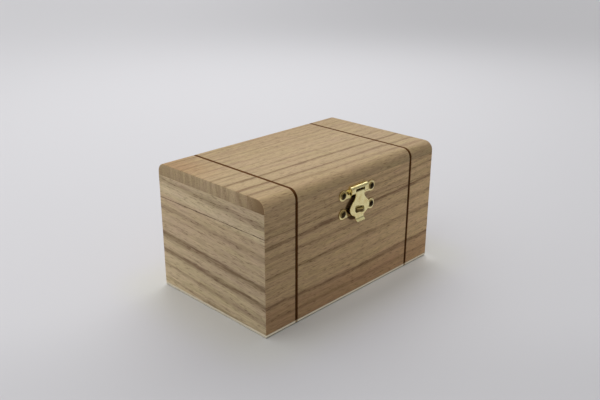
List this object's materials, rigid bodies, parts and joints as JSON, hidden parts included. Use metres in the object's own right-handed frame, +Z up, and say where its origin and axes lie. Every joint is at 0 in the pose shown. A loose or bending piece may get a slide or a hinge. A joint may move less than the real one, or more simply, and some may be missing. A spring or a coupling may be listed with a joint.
{
  "type": "inlaid wooden box",
  "caption": "Small hinged wooden box with a rounded-edge lid, dark inlaid lines over front, top and back, and a brass hasp that swings on the lid and closes over a lug on the body.",
  "frame": {"origin": "middle of the box's underside, on the surface it stands on", "axes": "+X along the front to the right, +Y to the back, +Z up"},
  "size_m": [0.16, 0.1075, 0.0865],
  "materials": {
    "box_wood": "bare open-grained wood, sanded, unvarnished",
    "panel_ply": "bare pale plywood",
    "inlay_wood": "dark stained strip set below the surface",
    "brass": "bright stamped brass"
  },
  "bodies": {
    "box_body": {"body_front_wall": "box_wood", "body_back_wall": "box_wood", "body_left_wall": "box_wood", "body_right_wall": "box_wood", "bottom_panel": "panel_ply", "body_inlay_front_left": "inlay_wood", "body_inlay_front_right": "inlay_wood", "body_inlay_back_left": "inlay_wood", "body_inlay_back_right": "inlay_wood", "catch_plate": "brass", "catch_plate_nails": "brass", "left_hinge_body_leaf": "brass", "right_hinge_body_leaf": "brass", "left_hinge_pin": "brass", "right_hinge_pin": "brass", "hinge_body_nails": "brass"},
    "lid": {"lid_top_board": "box_wood", "lid_front_rail": "box_wood", "lid_back_rail": "box_wood", "lid_left_rail": "box_wood", "lid_right_rail": "box_wood", "lid_inlay_left": "inlay_wood", "lid_inlay_right": "inlay_wood", "hasp_plate": "brass", "hasp_pin": "brass", "hasp_plate_nails": "brass", "left_hinge_lid_leaf": "brass", "right_hinge_lid_leaf": "brass", "hinge_lid_nails": "brass"},
    "hasp_tongue": {"hasp_tongue": "brass"}
  },
  "joints": [
    {"name": "lid_hinge", "type": "hinge", "parent": "box_body", "child": "lid", "pos_m": [0, 0.0508, 0.06355], "axis": [-1, 0, 0], "range_deg": [0, 105]},
    {"name": "hasp_swing", "type": "hinge", "parent": "lid", "child": "hasp_tongue", "pos_m": [-0.001, -0.0508, 0.0723], "axis": [-1, 0, 0], "range_deg": [0, 75]}
  ]
}
